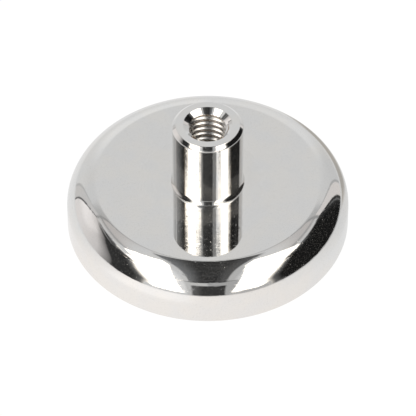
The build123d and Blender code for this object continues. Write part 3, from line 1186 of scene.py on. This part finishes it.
# %% Direction and distance on the sheet
sheet = bpy.data.materials.new("white_sheet")
sheet.use_nodes = True
tree = sheet.node_tree
tree.nodes.clear()
where = add(tree, "ShaderNodeTexCoord").outputs["Object"]
flat = add(tree, "ShaderNodeVectorMath", operation="NORMALIZE")
tree.links.new(where, flat.inputs[0])
spot = add(tree, "ShaderNodeSeparateXYZ")
tree.links.new(flat.outputs[0], spot.inputs[0])
span = add(tree, "ShaderNodeVectorMath", operation="LENGTH")
tree.links.new(where, span.inputs[0])
distance = span.outputs["Value"]


def toward(degrees):
    """Cosine of the angle between a place on the sheet and that azimuth."""
    turned_to = math.radians(degrees)
    return work(tree, "SUBTRACT", times(tree, spot.outputs[0], math.sin(turned_to)),
                times(tree, spot.outputs[1], math.cos(turned_to)))


print("places on the sheet:", len(tree.nodes), "nodes")

# %% [markdown]
# ## Light and a painted shadow
# There is a brighter lobe in front on the left, and the light fades far out
# in front on the right. A soft, warm grey painted shadow of the piece lies
# behind on the right. Each is a mask over the direction times one over the distance.

# %% Light of the sheet
FLOOR_FRONT, FLOOR_LEAST, FLOOR_MOST, FLOOR_TILT = (-0.2, 0.9), 0.83, 0.98, -0.05
LOBE_AT, LOBE_EDGES, LOBE_MORE, LOBE_START, LOBE_NEAR = -32, (0.86, 0.985), 0.13, (22, 27), 0.1
FAR_START, FAR_LIGHT = (48, 120), 0.90
CORNER_AT, CORNER_EDGES, CORNER_START, CORNER_LESS = 50, (0.2, 0.7), (55, 130), 0.45
PAINTED_SHADOW_AT, PAINTED_SHADOW_EDGES, PAINTED_SHADOW_START, PAINTED_SHADOW_END, PAINTED_SHADOW_LESS = 132, (0.90, 0.97), (23, 30), (80, 50), 0.44
WARM_AT, WARM_EDGES = -15, (0.0, 0.7)
PAPER_WARM, PAINTED_SHADOW_WARM = (1.03, 1.0, 0.98, 1.0), (1.05, 1.0, 0.93, 1.0)

strength = work(tree, "ADD", ramp(tree, toward(0), *FLOOR_FRONT, FLOOR_LEAST, FLOOR_MOST),
                times(tree, spot.outputs[0], FLOOR_TILT))
lobe = times(tree, ramp(tree, toward(LOBE_AT), *LOBE_EDGES, 0.0, LOBE_MORE),
             fade(tree, distance, *LOBE_START, LOBE_NEAR, 1.0))
strength = times(tree, work(tree, "ADD", strength, lobe), fade(tree, distance, *FAR_START, 1.0, FAR_LIGHT))
far_right = times(tree, ramp(tree, toward(CORNER_AT), *CORNER_EDGES),
                  fade(tree, distance, *CORNER_START, 0.0, CORNER_LESS))
# Painted shadow: the sheet's light is lowered behind on the right, where the piece shades the sheet, and
# tinted a warmer grey there.
painted_shadow = times(tree, ramp(tree, toward(PAINTED_SHADOW_AT), *PAINTED_SHADOW_EDGES), fade(tree, distance, *PAINTED_SHADOW_START),
               fade(tree, distance, *PAINTED_SHADOW_END))
strength = times(tree, strength, work(tree, "SUBTRACT", 1.0, far_right),
                 work(tree, "SUBTRACT", 1.0, times(tree, painted_shadow, PAINTED_SHADOW_LESS)))
paper_tint = lay(tree, WHITE, PAPER_WARM, ramp(tree, toward(WARM_AT), *WARM_EDGES))
reflected = add(tree, "ShaderNodeEmission")
plug(tree, reflected.inputs["Color"], lay(tree, paper_tint, PAINTED_SHADOW_WARM, painted_shadow))
plug(tree, reflected.inputs["Strength"], strength)
print("light of the sheet:", len(tree.nodes), "nodes")

# %% [markdown]
# ## What the camera sees of the floor
# A camera ray gets almost white light plus a little diffuse paper, which
# keeps the shadow. Every other ray gets the light above. From below, the
# sheet is clear, so the underside of the magnet can be looked at.

# %% Shader of the sheet
PAPER, SEEN_WHITE = (0.08, 0.08, 0.08, 1.0), 0.96


def mixed(part, first, second):
    """first where part is 0 and second where it is 1."""
    made = add(tree, "ShaderNodeMixShader")
    for socket, source in zip(made.inputs, (part, first, second)):
        tree.links.new(source, socket)
    return made.outputs[0]


paper = add(tree, "ShaderNodeBsdfDiffuse")
paper.inputs["Color"].default_value = PAPER
white = add(tree, "ShaderNodeEmission")
white.inputs["Strength"].default_value = SEEN_WHITE
seen = add(tree, "ShaderNodeAddShader")
tree.links.new(paper.outputs[0], seen.inputs[0])
tree.links.new(white.outputs[0], seen.inputs[1])
rays = add(tree, "ShaderNodeLightPath")
by_ray = mixed(rays.outputs["Is Camera Ray"], reflected.outputs[0], seen.outputs[0])
clear = add(tree, "ShaderNodeBsdfTransparent")
face = add(tree, "ShaderNodeNewGeometry")
sheet_out = add(tree, "ShaderNodeOutputMaterial")
tree.links.new(mixed(face.outputs["Backfacing"], by_ray, clear.outputs[0]), sheet_out.inputs[0])
sheet_mesh.materials.append(sheet)
print("white sheet:", len(tree.nodes), "nodes")

# %% [markdown]
# ## The camera
# A long lens from about half a metre, looking down at a little over 45
# degrees. The long lens keeps the cup's ellipses almost free of perspective.
# The view is left at Standard, so that a tone comes out as it is written.

# %% Camera
CAMERA_UP, CAMERA_AWAY = 45.61, 552.0          # degrees, mm
AIM = np.array([0.034, 0.0, 2.324])            # mm
SENSOR_W, FOCAL = 36.0, 335.4                  # mm
CLIP_NEAR, CLIP_FAR = 0.01, 20.0               # m

tilt = math.radians(CAMERA_UP)
stand = AIM + CAMERA_AWAY * np.array([0.0, -math.cos(tilt), math.sin(tilt)])
lens = bpy.data.cameras.new("long_lens")
lens.sensor_fit = "HORIZONTAL"
lens.sensor_width = SENSOR_W
lens.lens = FOCAL
lens.clip_start = CLIP_NEAR
lens.clip_end = CLIP_FAR
camera = bpy.data.objects.new("camera", lens)
camera.location = (stand * MM).tolist()
camera.rotation_euler = (math.pi / 2 - tilt, 0.0, 0.0)
bpy.context.scene.collection.objects.link(camera)
bpy.context.scene.camera = camera
bpy.context.scene.view_settings.view_transform = "Standard"
print("camera at mm:", [round(v, 2) for v in stand.tolist()])
